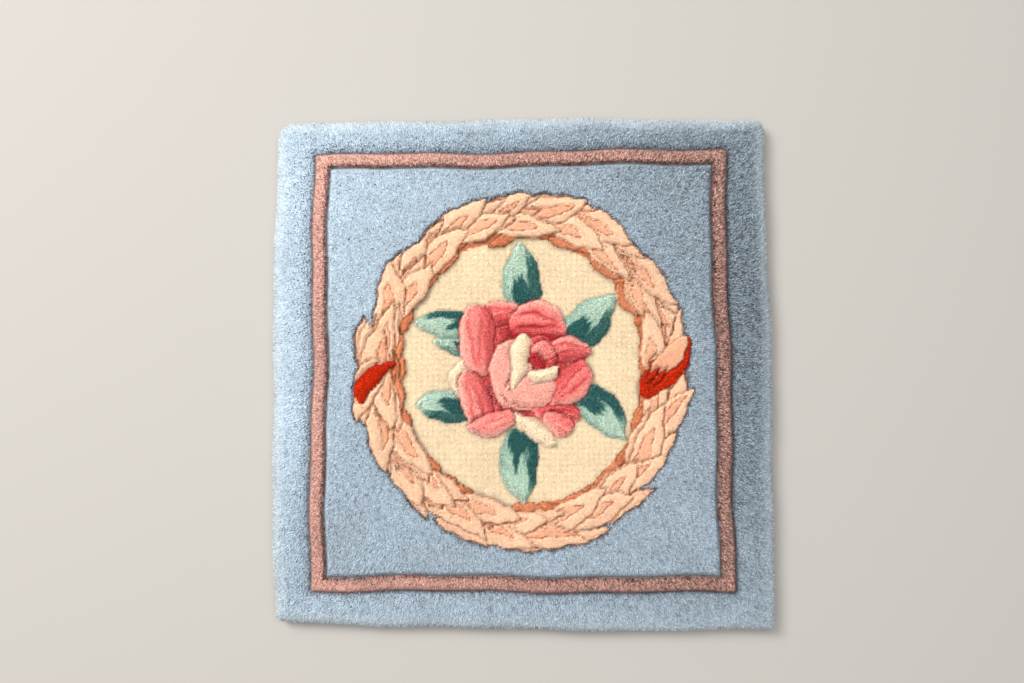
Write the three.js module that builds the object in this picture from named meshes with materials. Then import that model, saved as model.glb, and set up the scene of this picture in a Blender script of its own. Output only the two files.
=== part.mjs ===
// A small carved Chinese rug, knotted in one piece and lying flat, with its pile side up.
// Millimetres: x runs across the rug, y along it and z up from the floor under its middle.
import * as THREE from "three";

// Heights of the sheared pile above the floor
const FIELD_HEIGHT = 15;
const STRIPE_HEIGHT = 15.4;
const MEDALLION_HEIGHT = 10.5;
const WREATH_BED_HEIGHT = 12.4;

// Outlines of the rug and of its border stripe: corners clockwise from the top left one with their radii, and
// bowed, uneven sides
const RUG = {
  corners: [
    { x: -152.6, y: 153.8, radius: 9 },
    { x: 150.6, y: 156.8, radius: 6 },
    { x: 152.4, y: -157.4, radius: 4 },
    { x: -149.8, y: -152, radius: 4 },
  ],
  bow: 2.2,
  wave: 0.5,
};
const STRIPE = {
  corners: [
    { x: -129, y: 133.5, radius: 2 },
    { x: 126.2, y: 137.8, radius: 3 },
    { x: 129, y: -134.2, radius: 2 },
    { x: -128.2, y: -133, radius: 2 },
  ],
  bow: 0,
  wave: 0.7,
};
const LONG_WAVE = { length: 23, turn: 1.7, share: 1 };
const SHORT_WAVE = { length: 9.5, turn: 1, share: 0.6 };
const STRIPE_WIDTH = 9.2;
const STRIPE_GROOVE = { depth: 3.6, width: 1.5 };

// The pile rolls over at the rug's edge and leans out past the foundation
const SHOULDER_WIDTH = 9;
const SHOULDER_DROP = 8;
const FOOT_INSET = 1.8;

// The wreath's outer oval and the medallion inside it, as half widths and half lengths
const WREATH = { x: 103, y: 112 };
const MEDALLION = { x: 75, y: 82.5, wall: 0.07 };

// How the hand-tied outlines of the carving waver
const WAVER_COLUMNS = ["length", "sway", "heading", "start"];
const WAVERS = [
  [43, 0.9, 20, 0.4],
  [37, 0.9, 110, 2.1],
  [15, 0.45, 65, 1.2],
  [13, 0.45, 155, 4],
];

// Leaves of the wreath: two garlands run from the left tie to the right one, over the top and below
const GARLAND_LEAVES = 9;
const GARLAND_ROW_COLUMNS = ["reach", "tilt", "length", "width", "shift", "level", "crown"];
const GARLAND_ROWS = [
  [0.762, 7, 24, 6.4, 0.1, 12.5, 0.6],
  [0.766, 7, 24, 6.4, 0.6, 12.6, 0.6],
  [0.94, 5, 38, 9, 0.42, 13.2, 0.8],
  [0.865, 0, 40, 10, 0.3, 13.4, 0.8],
  [0.81, -6, 40, 10.5, 0.62, 13.7, 0.9],
  [0.835, -12, 50, 16.5, 0.45, 14, 1.2],
  [0.9, 9, 54, 17.5, 0, 14.4, 1.3],
];
const GARLAND_SCATTER = {
  along: 0.16, reach: 0.026, tilt: 7, length: 0.14, width: 0.12, bend: 1.5, sway: 0.8,
};
const GARLAND_LEAF = { bend: 1.2, taper: 0.1, foot: 0.6, point: 0.85 };

// Carved pads: middle, size, direction of the tip in degrees, sideways bend and S-curve, narrowing toward the
// tip, how pointed the foot and tip are, height at the rim and rise to the middle
const PAD_COLUMNS = [
  "x", "y", "length", "width", "turn", "bend", "sway", "taper", "foot", "point", "level", "crown",
];
const TIES = [
  [-95, 0, 20, 6, -135, -1.5, 0, -0.2, 0.7, 0.5, 14.4, 0.6],
  [-89, -7, 32, 11, -130, -4, 0, -0.3, 0.4, 0.3, 14.8, 1.4],
  [87, 2, 48, 17, -130, 2, 0, 0, 0.42, 0.42, 14.6, 1.2],
  [89, 7, 36, 12, -130, 0.6, 0, 0.2, 0.5, 0.7, 15.2, 0.8],
  [80, -4, 15, 3.5, 45, 0.4, 0, 0.2, 0.4, 0.9, 15.2, 0.6],
  [84, -5, 17, 3.5, 50, 0.4, 0, 0.2, 0.4, 0.9, 15.2, 0.6],
];

// Leaves that spread from under the rose: angle and reach from the rug's middle, size, twist off that angle,
// bend and S-curve
const LEAF_COLUMNS = ["angle", "reach", "length", "width", "twist", "bend", "sway"];
const LEAVES = [
  [90, 58, 40, 24, 5, 0, 1],
  [35, 54, 40, 24, 10, 1.5, 1],
  [-30, 54, 44, 24, -10, 3, -1.5],
  [-90, 58, 46, 24, 0, -1.5, 1.5],
  [205, 53, 36, 20, -30, 0, 1],
  [160, 46, 24, 12, 10, -1, 0],
  [150, 56, 34, 18, 25, -1, 1],
];
const LEAF_FORM = { taper: 0.16, foot: 0.45, point: 0.8, level: 12, crown: 1.6 };

// The rose: petals stand round its heart, each folded in on the heart's side. Angle and reach from the rose's
// middle, size, twist off the ring, height and depth of the fold
const PETAL_COLUMNS = ["angle", "reach", "length", "width", "twist", "level", "fold"];
const PETALS = [
  [120, 25, 30, 18, 75, 12.6, 0.5],
  [110, 36, 24, 17, -15, 13, 0.9],
  [145, 31, 44, 23, -140, 12.8, 0.9],
  [70, 29, 38, 25, 10, 13.2, 1.4],
  [-50, 32, 30, 17, -55, 12.5, 0.7],
  [-15, 30, 32, 22, -35, 13.3, 0.9],
  [20, 31, 24, 17, 70, 13.5, 0.9],
  [-55, 38, 20, 14, -75, 12.8, 0.6],
  [-140, 25, 32, 14, 0, 12.8, 0.4],
  [-150, 32, 38, 19, -10, 13, 0.9],
  [-120, 36, 30, 15, 40, 13.2, 0.5],
];
const PETAL_FORM = { sway: 0.6, taper: 0.12, foot: 0.42, point: 0.5, crown: 1.9 };
const PETAL_BEND = 0.1;
const FOLD_DEPTH = 0.8;
const ROSE_BED = [[0, 0, 60, 56, 90, 0, 0, 0, 0.4, 0.4, 11.2, 0.3]];
// Cream edges turned over at the left and below, and the heart: a ball with a hollow, a bud in it, a cup,
// and a cream fold and bar
const TURNED_EDGES = [
  [-36, -5, 25, 10, -95, -3.5, 0, 0, 0.4, 0.4, 12, 1.2],
  [7, -36, 32, 11, -35, -1, 0, 0, 0.5, 0.4, 12.4, 1.6],
];
const HEART = [
  [0, -2, 46, 40, 90, 0, 0, 0.08, 0.45, 0.45, 13.4, 2.4],
  [12, 10, 24, 18, -80, 0, 0, 0, 0.42, 0.42, 13.6, 0.8],
  [13, 12, 15, 11, -20, 0.8, 0, 0, 0.42, 0.42, 14.2, 1.4],
  [9, 6, 13, 8, -50, 0, 0, 0, 0.5, 0.6, 14.2, 0.4],
  [5, -12, 32, 20, 5, -1, 0, 0, 0.42, 0.42, 14.2, 2.2],
  [-2, 5, 36, 10, -105, 0, 2.2, 0.3, 0.25, 0.5, 15.2, 1.6],
  [12, -2, 20, 8, 5, -0.8, 0, -0.1, 0.25, 0.2, 15, 1.6],
];
// How the carver's shears round each kind of pad: width of its rolled rim, and of the cut beside it
const CUT = {
  garland: { drop: 2.4, rim: 3, groove: 2 },
  leaf: { drop: 2.4, rim: 3, groove: 1.5 },
  petal: { drop: 2.8, rim: 3.4, groove: 1.8 },
};
const DEEPEST_CUT = 9.6;

// Spacing of the points of the pile face: the rose, the medallion and the wreath out from the middle
const CARVED_ZONES = [
  { reach: 0.43, spacing: 2.4 },
  { reach: 0.68, spacing: 3.5 },
  { reach: 1.06, spacing: 3.1 },
];
const FIELD_ROWS = 2;
const BORDER_POINTS_A_SIDE = 20;

// The pile's tips blur the carving: each height is a mean over points this far apart
const TIP_SPREAD = 1.2;
const TIP_NEIGHBOURS = 6;

const degrees = THREE.MathUtils.degToRad;

/** Repeatable hand-work scatter between -1 and 1. */
function unevenness(index) {
  const wide = Math.sin(index * 12.9898) * 43758.5453;
  return 2 * (wide - Math.floor(wide)) - 1;
}

/** Rows of a table as objects with its columns as names. */
function readTable(columns, rows) {
  return rows.map((row) => Object.fromEntries(columns.map((column, k) => [column, row[k]])));
}

/** One leaf of a garland, turned from the wreath's direction there and a little uneven. */
function garlandLeaf(row, way, place, seed) {
  const scatter = (k) => unevenness(7 * seed + k);
  const share = (place + row.shift + GARLAND_SCATTER.along * scatter(0)) / GARLAND_LEAVES;
  const angle = Math.PI * (1 - way * share);
  const reach = row.reach + GARLAND_SCATTER.reach * scatter(1);
  const onward = Math.atan2(-way * WREATH.y * Math.cos(angle), way * WREATH.x * Math.sin(angle));
  const tilt = way * (row.tilt + GARLAND_SCATTER.tilt * scatter(2));
  return {
    x: WREATH.x * reach * Math.cos(angle),
    y: WREATH.y * reach * Math.sin(angle),
    length: row.length * (1 + GARLAND_SCATTER.length * scatter(3)),
    width: row.width * (1 + GARLAND_SCATTER.width * scatter(4)),
    turn: THREE.MathUtils.radToDeg(onward) + tilt,
    bend: -way * (GARLAND_LEAF.bend + GARLAND_SCATTER.bend * scatter(5)),
    sway: GARLAND_SCATTER.sway * scatter(0),
    taper: GARLAND_LEAF.taper,
    foot: GARLAND_LEAF.foot,
    point: GARLAND_LEAF.point,
    level: row.level,
    crown: row.crown,
    cut: CUT.garland,
  };
}

/** One leaf that spreads from under the rose. */
function roseLeaf(leaf) {
  const angle = degrees(leaf.angle);
  return {
    ...leaf,
    ...LEAF_FORM,
    x: leaf.reach * Math.cos(angle),
    y: leaf.reach * Math.sin(angle),
    turn: leaf.angle + leaf.twist,
    cut: CUT.leaf,
  };
}

/** One petal of the rose, folded in on the side that faces the heart. */
function ringPetal(petal) {
  const x = petal.reach * Math.cos(degrees(petal.angle));
  const y = petal.reach * Math.sin(degrees(petal.angle));
  const turn = petal.angle - 90 + petal.twist;
  const inward = Math.sign(x * Math.sin(degrees(turn)) - y * Math.cos(degrees(turn)));
  return {
    ...petal,
    ...PETAL_FORM,
    x,
    y,
    turn,
    bend: -PETAL_BEND * inward * petal.width,
    fold: inward * petal.fold,
    cut: CUT.petal,
  };
}

/** Every pad of the carving, each over the ones before it: leaf tips lie over the next leaf's foot. */
function carvedPads() {
  const rows = readTable(GARLAND_ROW_COLUMNS, GARLAND_ROWS);
  const pads = [];
  for (const way of [1, -1]) {
    for (let place = GARLAND_LEAVES; place >= 0; place -= 1) {
      for (const row of rows) {
        pads.push(garlandLeaf(row, way, place, pads.length + 1));
      }
    }
  }
  const asPetal = (pad) => ({ ...pad, cut: CUT.petal });
  pads.push(...readTable(PAD_COLUMNS, TIES).map((tie) => ({ ...tie, cut: CUT.garland })));
  pads.push(...readTable(LEAF_COLUMNS, LEAVES).map(roseLeaf));
  pads.push(...readTable(PAD_COLUMNS, [...ROSE_BED, ...TURNED_EDGES]).map(asPetal));
  pads.push(...readTable(PETAL_COLUMNS, PETALS).map(ringPetal));
  pads.push(...readTable(PAD_COLUMNS, HEART).map(asPetal));
  return pads;
}

/** Distance in from an uneven four-sided outline with rounded corners. */
function insetFrom(outline, x, y) {
  const [topLeft, topRight, lowRight, lowLeft] = outline.corners;
  const left = y > 0 ? topLeft : lowLeft;
  const right = y > 0 ? topRight : lowRight;
  const { radius } = x < 0 ? left : right;
  let nearest = Infinity;
  let cornerSum = 0;
  outline.corners.forEach((start, side) => {
    const end = outline.corners[(side + 1) % 4];
    const length = Math.hypot(end.x - start.x, end.y - start.y);
    const along = ((x - start.x) * (end.x - start.x) + (y - start.y) * (end.y - start.y)) / length;
    const across = ((x - start.x) * (end.y - start.y) - (y - start.y) * (end.x - start.x)) / length;
    const wave = [LONG_WAVE, SHORT_WAVE]
      .map((part) => part.share * Math.sin(along / part.length + part.turn * side))
      .reduce((sum, part) => sum + part, 0);
    const inset = across + outline.bow * (1 - (2 * along / length - 1) ** 2) + outline.wave * wave;
    nearest = Math.min(nearest, inset);
    cornerSum += Math.max(radius - inset, 0) ** 2;
  });
  return nearest > radius ? nearest : radius - Math.sqrt(cornerSum);
}

/** Moves a point a little sideways, so that the carving's outlines waver. */
function handDrawn(x, y) {
  const moved = { x, y };
  for (const waver of readTable(WAVER_COLUMNS, WAVERS)) {
    const across = Math.cos(degrees(waver.heading));
    const along = Math.sin(degrees(waver.heading));
    const sway = waver.sway * Math.sin((2 * Math.PI * (x * across + y * along)) / waver.length + waver.start);
    moved.x -= sway * along;
    moved.y += sway * across;
  }
  return moved;
}

/** How far a petal is folded in at a share of its width, on the side that faces the heart. */
function foldDepth(pad, u, share) {
  const across = share * Math.sign(pad.fold) - 0.2 * u * u;
  return FOLD_DEPTH * Math.abs(pad.fold) * THREE.MathUtils.smoothstep(across, 0, 0.8);
}

/** The pile's height after one more pad is carved into it at a point. */
function carvePad(pad, x, y, height) {
  const turn = degrees(pad.turn);
  const dx = x - pad.x;
  const dy = y - pad.y;
  const u = (dx * Math.cos(turn) + dy * Math.sin(turn)) / (pad.length / 2);
  const v = dy * Math.cos(turn) - dx * Math.sin(turn) - (pad.bend + pad.sway * u) * (1 - u * u);
  if (Math.abs(u) >= 1) {
    return height;
  }
  const sharpness = u > 0 ? pad.point : pad.foot;
  const half = (pad.width / 2) * (1 - u * u) ** sharpness * (1 - pad.taper * u);
  const depth = half - Math.abs(v);
  const floor = Math.max(pad.level - pad.cut.drop, DEEPEST_CUT);
  if (depth <= -pad.cut.groove) {
    return height;
  }
  if (depth <= 0) {
    return Math.min(height, floor + ((height - floor) * -depth) / pad.cut.groove);
  }
  const share = v / half;
  const fold = pad.fold ? foldDepth(pad, u, share) : 0;
  const dome = pad.level + pad.crown * (1 - share ** 2) - fold;
  const rim = Math.min(depth / pad.cut.rim, 1);
  return floor + (dome - floor) * Math.sqrt(1 - (1 - rim) ** 2);
}

/** Height of the sheared and carved pile at a point. */
function pileHeight(pads, x, y) {
  const inStripe = insetFrom(STRIPE, x, y);
  let height = inStripe > 0 && inStripe < STRIPE_WIDTH ? STRIPE_HEIGHT : FIELD_HEIGHT;
  for (const edge of [0, STRIPE_WIDTH]) {
    height -= STRIPE_GROOVE.depth * Math.exp(-(((inStripe - edge) / STRIPE_GROOVE.width) ** 2));
  }
  const drawn = handDrawn(x, y);
  const fromMiddle = Math.hypot(drawn.x / MEDALLION.x, drawn.y / MEDALLION.y);
  if (fromMiddle < 1 + MEDALLION.wall) {
    const rise = THREE.MathUtils.smoothstep(fromMiddle, 1, 1 + MEDALLION.wall);
    height = THREE.MathUtils.lerp(MEDALLION_HEIGHT, WREATH_BED_HEIGHT, rise);
  }
  for (const pad of pads) {
    height = carvePad(pad, drawn.x, drawn.y, height);
  }
  const lean = THREE.MathUtils.clamp(1 - insetFrom(RUG, x, y) / SHOULDER_WIDTH, 0, 1);
  return height - SHOULDER_DROP * (1 - Math.sqrt(1 - lean * lean));
}

/** Height of the pile blurred over its own tips. */
function tipHeight(pads, x, y) {
  let sum = pileHeight(pads, x, y);
  for (let k = 0; k < TIP_NEIGHBOURS; k += 1) {
    const angle = (2 * Math.PI * k) / TIP_NEIGHBOURS;
    sum += pileHeight(pads, x + TIP_SPREAD * Math.cos(angle), y + TIP_SPREAD * Math.sin(angle));
  }
  return sum / (TIP_NEIGHBOURS + 1);
}

/** A ring of points round an oval of the carved middle, as far apart as its spacing. */
function ovalRing(share, spacing, heightAt) {
  const count = Math.max(6, Math.round((Math.PI * share * (WREATH.x + WREATH.y)) / spacing));
  return Array.from({ length: count }, (_, k) => {
    const angle = (2 * Math.PI * k) / count;
    const x = WREATH.x * share * Math.cos(angle);
    const y = WREATH.y * share * Math.sin(angle);
    return new THREE.Vector3(x, y, heightAt(x, y));
  });
}

/** Directions from the middle to an outline's corners and to even steps along its sides. */
function sideAngles(outline) {
  return outline.corners
    .flatMap((start, side) => {
      const end = outline.corners[(side + 1) % 4];
      return Array.from({ length: BORDER_POINTS_A_SIDE }, (_, k) => {
        const share = k / BORDER_POINTS_A_SIDE;
        const angle = Math.atan2(
          THREE.MathUtils.lerp(start.y, end.y, share),
          THREE.MathUtils.lerp(start.x, end.x, share),
        );
        return THREE.MathUtils.euclideanModulo(angle, 2 * Math.PI);
      });
    })
    .sort((a, b) => a - b);
}

/** How far out the outline's inset falls to a value, along a direction from the middle. */
function reachAt(outline, inset, angle) {
  let near = 0;
  let far = 2 * RUG.corners[1].y;
  for (let step = 0; step < 40; step += 1) {
    const middle = (near + far) / 2;
    if (insetFrom(outline, middle * Math.cos(angle), middle * Math.sin(angle)) > inset) {
      near = middle;
    } else {
      far = middle;
    }
  }
  return near;
}

/** A ring of points at one inset from an outline. */
function insetRing(outline, inset, heightAt) {
  return sideAngles(outline).map((angle) => {
    const reach = reachAt(outline, inset, angle);
    const x = reach * Math.cos(angle);
    const y = reach * Math.sin(angle);
    return new THREE.Vector3(x, y, heightAt(x, y));
  });
}

/** A ring part of the way from the carved oval out to the stripe's inner groove. */
function fieldRing(share, heightAt) {
  const outermost = CARVED_ZONES[CARVED_ZONES.length - 1];
  return sideAngles(STRIPE).map((angle) => {
    const oval = outermost.reach / Math.hypot(Math.cos(angle) / WREATH.x, Math.sin(angle) / WREATH.y);
    const reach = THREE.MathUtils.lerp(oval, reachAt(STRIPE, STRIPE_WIDTH, angle), share);
    const x = reach * Math.cos(angle);
    const y = reach * Math.sin(angle);
    return new THREE.Vector3(x, y, heightAt(x, y));
  });
}

/** The rings from the middle of the pile face out, down the side and in under the foot. */
function rugRings() {
  const pads = carvedPads();
  const pile = (x, y) => pileHeight(pads, x, y);
  const tips = (x, y) => tipHeight(pads, x, y);
  const carved = CARVED_ZONES.flatMap(({ reach, spacing }, zone) => {
    const start = zone > 0 ? CARVED_ZONES[zone - 1].reach : 0;
    const rows = Math.round(((reach - start) * WREATH.x) / spacing);
    const shares = Array.from({ length: rows }, (_, k) => start + ((k + 1) / rows) * (reach - start));
    return shares.map((share) => ovalRing(share, spacing, tips));
  });
  const field = Array.from({ length: FIELD_ROWS }, (_, k) => fieldRing((k + 1) / (FIELD_ROWS + 1), pile));
  const groove = STRIPE_GROOVE.width;
  const stripe = [
    STRIPE_WIDTH + 2 * groove,
    STRIPE_WIDTH,
    STRIPE_WIDTH - 2 * groove,
    2 * groove,
    0,
    -2 * groove,
  ].map((inset) => insetRing(STRIPE, inset, pile));
  const shoulder = [1, 0.5, 0.2, 0].map((share) => insetRing(RUG, share * SHOULDER_WIDTH, pile));
  const side = [
    insetRing(RUG, FOOT_INSET / 3, () => (FIELD_HEIGHT - SHOULDER_DROP) / 2),
    insetRing(RUG, FOOT_INSET, () => 0),
  ];
  return [...carved, ...field, ...stripe, ...shoulder, ...side];
}

/** Triangles between two rings that go round the same way, whatever their numbers of points. */
function stitchRings(inner, outer, indices) {
  const angleOf = ({ point }) => THREE.MathUtils.euclideanModulo(Math.atan2(point.y, point.x), 2 * Math.PI);
  const turnOf = (ring, k) => angleOf(ring[k % ring.length]) + (k < ring.length ? 0 : 2 * Math.PI);
  let i = 0;
  let j = 0;
  while (i < inner.length || j < outer.length) {
    const here = inner[i % inner.length].index;
    const there = outer[j % outer.length].index;
    const outerFirst = turnOf(outer, j + 1) <= turnOf(inner, i + 1);
    if (i >= inner.length || (j < outer.length && outerFirst)) {
      indices.push(here, there, outer[(j + 1) % outer.length].index);
      j += 1;
    } else {
      indices.push(here, there, inner[(i + 1) % inner.length].index);
      i += 1;
    }
  }
}

/** The closed body of the rug: a middle point, its rings, and a middle point of the flat underside. */
function rugGeometry() {
  const rings = rugRings();
  const middleHeight = tipHeight(carvedPads(), 0, 0);
  const points = [new THREE.Vector3(0, 0, middleHeight)];
  const numbered = rings.map((ring) =>
    ring.map((point) => {
      points.push(point);
      return { point, index: points.length - 1 };
    }),
  );
  points.push(new THREE.Vector3(0, 0, 0));
  const underside = points.length - 1;
  const indices = [];
  const first = numbered[0];
  const last = numbered[numbered.length - 1];
  first.forEach(({ index }, k) => indices.push(0, index, first[(k + 1) % first.length].index));
  for (let k = 0; k + 1 < numbered.length; k += 1) {
    stitchRings(numbered[k], numbered[k + 1], indices);
  }
  last.forEach(({ index }, k) => indices.push(index, underside, last[(k + 1) % last.length].index));
  const geometry = new THREE.BufferGeometry().setFromPoints(points);
  geometry.setIndex(indices);
  geometry.computeBoundingBox();
  const middle = geometry.boundingBox.getCenter(new THREE.Vector3());
  geometry.translate(-middle.x, -middle.y, 0);
  geometry.computeVertexNormals();
  return geometry;
}

const wool = new THREE.MeshStandardMaterial({ color: "#a3b7c6", roughness: 0.95, metalness: 0 });
const rug = new THREE.Mesh(rugGeometry(), wool);
rug.name = "rug";

const part = new THREE.Group();
part.add(rug);

export default part;
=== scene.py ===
"""A small carved Chinese rug lying flat: a rose in a leaf wreath on a blue field with a mauve stripe."""
import math
from collections import namedtuple

import bpy
import numpy as np
from bpy.props import FloatProperty, FloatVectorProperty, IntProperty, PointerProperty
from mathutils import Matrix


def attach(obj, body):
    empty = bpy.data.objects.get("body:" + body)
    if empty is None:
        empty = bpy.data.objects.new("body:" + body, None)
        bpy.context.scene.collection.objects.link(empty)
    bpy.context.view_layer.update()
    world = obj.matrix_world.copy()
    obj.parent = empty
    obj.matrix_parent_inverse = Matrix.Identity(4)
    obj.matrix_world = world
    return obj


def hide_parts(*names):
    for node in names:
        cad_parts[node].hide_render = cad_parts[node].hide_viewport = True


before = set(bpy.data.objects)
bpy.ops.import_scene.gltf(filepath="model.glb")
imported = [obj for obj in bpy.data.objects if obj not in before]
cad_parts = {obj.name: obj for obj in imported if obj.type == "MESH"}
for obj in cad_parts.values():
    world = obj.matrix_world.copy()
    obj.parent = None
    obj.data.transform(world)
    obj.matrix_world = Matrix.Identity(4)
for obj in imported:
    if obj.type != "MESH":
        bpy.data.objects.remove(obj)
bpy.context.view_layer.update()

bl_info = {
    "name": "Carved Chinese rug",
    "version": (1, 0, 0),
    "blender": (4, 5, 0),
    "location": "View3D > Sidebar > Rug",
    "description": "Models a small knotted wool rug with a carved rose in a leaf wreath",
    "category": "Object",
}

MM = 0.001

# Yarn zones of the pile: material slot, yarns from tone 0 up, how much the yarn ends differ in shade,
# how close they stand as a share of the tuft pitch, and how far they splay toward the rug's edges
FIELD, MARGIN, STRIPE, WREATH, TIE, GROUND, LEAF, ROSE = range(8)
Zone = namedtuple("Zone", "name slot yarns speckle pitch splay")
ZONES = (
    Zone("field", "blue_wool", ("frost", "blue", "slate_shadow"), 0.46, 1.0, 0.42),
    Zone("margin", "blue_wool", ("frost", "blue", "slate_shadow"), 0.34, 1.0, 0.5),
    Zone("stripe", "mauve_wool", ("mauve", "umber_shadow"), 0.68, 0.9, 0.45),
    Zone("wreath", "peach_wool", ("brown", "terracotta", "peach", "pale_peach"), 0.5, 0.7, 0.0),
    Zone("ties", "red_wool", ("crimson", "scarlet"), 0.8, 0.7, 0.0),
    Zone("medallion", "cream_wool", ("cream", "cream"), 0.36, 0.85, 0.0),
    Zone("leaves", "green_wool", ("teal", "sage", "mint"), 1.0, 0.7, 0.0),
    Zone("rose", "rose_wool", ("deep_rose", "rose", "pale_rose", "rose_cream"), 0.9, 0.7, 0.0),
)

# Outlines in millimetres: corners clockwise from the top left one with their radii, and bowed, uneven sides
Corner = namedtuple("Corner", "x y radius")
Outline = namedtuple("Outline", "corners bow wave")
RUG = Outline((Corner(-152.6, 153.8, 9), Corner(150.6, 156.8, 6), Corner(152.4, -157.4, 4),
               Corner(-149.8, -152, 4)), 2.2, 0.5)
STRIPE_LINE = Outline((Corner(-129, 133.5, 2), Corner(126.2, 137.8, 3), Corner(129, -134.2, 2),
                       Corner(-128.2, -133, 2)), 0, 0.7)
Wave = namedtuple("Wave", "length turn share")
WAVES = (Wave(23, 1.7, 1.0), Wave(9.5, 1.0, 0.6))

# How the hand-tied outlines of the carving waver: wave length, sway, heading in degrees and start
Waver = namedtuple("Waver", "length sway heading start")
WAVERS = (
    Waver(43, 0.9, 20, 0.4),
    Waver(37, 0.9, 110, 2.1),
    Waver(15, 0.45, 65, 1.2),
    Waver(13, 0.45, 155, 4.0),
    Waver(6.5, 0.22, 40, 0.0),
    Waver(5.8, 0.22, 130, 3.0),
)

# Painted shadow along the stripe's cuts and painted shade where the pile dips toward it: darkness and width
Line = namedtuple("Line", "dark width")
OUTER_SHADOW = Line(0.78, 1.1)
INNER_SHADOW = Line(0.58, 1.0)
VALLEY_SHADE = Line(0.06, 5)
FIELD_SHARE = 0.6

# Form of the grooves beside the stripe: how far they slope into margin, stripe and field, and how steeply
MARGIN_SLOPE = 4.2
STRIPE_SLOPE = 1.1
FIELD_SLOPE = 1.2
SLOPE_POWER = 1.5
STRIPE_RISE = 0.4

# The wreath's outer oval and the medallion inside it, as half widths and half lengths, and the wreath's bed
WREATH_OVAL = (103.0, 112.0)
MEDALLION_OVAL = (75.0, 82.5)
MEDALLION_WALL = 0.05
BED_REACH = 0.93
BED_HEIGHT = 12.4
BED_TONE = 1.2

# Leaves of the wreath: two garlands run from the left tie to the right one, over the top and below.
# A leaf's panel is the darker facet sheared into it, as a share of its length
GARLAND_LEAVES = 9
GarlandRow = namedtuple("GarlandRow", "reach tilt length width shift level crown tone panel")
GARLAND_ROWS = (
    GarlandRow(0.762, 7, 24, 6.4, 0.1, 12.5, 0.6, 1.05, 0.0),
    GarlandRow(0.766, 7, 24, 6.4, 0.6, 12.6, 0.6, 1.25, 0.0),
    GarlandRow(0.94, 5, 38, 9, 0.42, 13.2, 0.8, 2.6, 0.0),
    GarlandRow(0.865, 0, 40, 10, 0.3, 13.4, 0.8, 2.1, 0.0),
    GarlandRow(0.81, -6, 40, 10.5, 0.62, 13.7, 0.9, 2.65, 0.0),
    GarlandRow(0.835, -12, 50, 16.5, 0.45, 14.0, 1.2, 2.85, 0.55),
    GarlandRow(0.9, 9, 54, 17.5, 0.0, 14.4, 1.3, 2.75, 0.6),
)

# How unevenly the leaves are laid: the scatter of their place, reach, turn in degrees and S-curve, and the
# middle and scatter of their length, width and bend
PLACE_SCATTER = 0.16
REACH_SCATTER = 0.026
TURN_SCATTER = 7
SWAY_SCATTER = 0.8
Spread = namedtuple("Spread", "middle scatter")
LEAF_LENGTH = Spread(1, 0.14)
LEAF_WIDTH = Spread(1, 0.12)
LEAF_BEND = Spread(1.2, 1.5)
GARLAND_FORM = {"taper": 0.1, "foot": 0.6, "point": 0.85, "shade": 0.1, "glow": 0.1}

# A panel in its leaf: how far aside and back it lies, its size and turn
PANEL_ASIDE = Spread(-0.14, 0.1)
PANEL_BACK = Spread(-0.06, 0.08)
PANEL_LENGTH = Spread(1.1, 0.25)
PANEL_WIDTH = Spread(0.36, 0.08)
PANEL_TURN = Spread(4, 3)
PANEL_BEND = 0.5
PANEL_RISE = 0.4
PANEL_DARK = 0.7
PANEL_FORM = {"taper": -0.15, "crown": 0.4}

# How the shears cut round a pad: drop at its rim, width of the rolled rim, width of the cut, and how dark
# the line of the cut is, partly darker outline yarn and partly painted shade of the cut
Cut = namedtuple("Cut", "drop rim groove line")
GARLAND_CUT = Cut(1.9, 1.4, 1.5, 2.6)
PANEL_CUT = Cut(0.7, 0.9, 0.6, 1.8)
LEAF_CUT = Cut(2.6, 3.0, 1.2, 0.0)
PETAL_CUT = Cut(2.6, 4.4, 1.1, 1.4)
DEEPEST_CUT = 9.6
CUT_ROOM = 4
LINE_DEPTHS = (0.8, 0.15)
FIELD_CUT_SHADOW = 1.75
THINNEST_HALF = 0.1
DOME_FALL = 0.35

# Carved pads: middle, size, direction of the tip in degrees, sideways bend and S-curve, narrowing toward the
# tip, how pointed the foot and tip are, height at the rim, rise to the middle, yarn tone, its change toward
# the tip and toward the rims, and the side and strength of a fold
Pad = namedtuple("Pad", "zone cut x y length width turn bend sway taper foot point level crown tone shade "
                 "glow fold", defaults=(0,))
TIES = (
    (WREATH, -95, 0, 20, 6, -135, -1.5, 0, -0.2, 0.7, 0.5, 14.4, 0.6, 2.6, 0, 0),
    (TIE, -89, -7, 32, 11, -130, -4, 0, -0.3, 0.4, 0.3, 14.8, 1.4, 0.95, 0.25, -0.5),
    (TIE, 87, 2, 48, 17, -130, 2, 0, 0, 0.42, 0.42, 14.6, 1.2, 0.85, 0.3, 0),
    (WREATH, 89, 7, 36, 12, -130, 0.6, 0, 0.2, 0.5, 0.7, 15.2, 0.8, 1.9, -0.35, 0.3),
    (TIE, 80, -4, 15, 3.5, 45, 0.4, 0, 0.2, 0.4, 0.9, 15.2, 0.6, 0.9, 0, 0),
    (TIE, 84, -5, 17, 3.5, 50, 0.4, 0, 0.2, 0.4, 0.9, 15.2, 0.6, 0.9, 0, 0),
)

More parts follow.
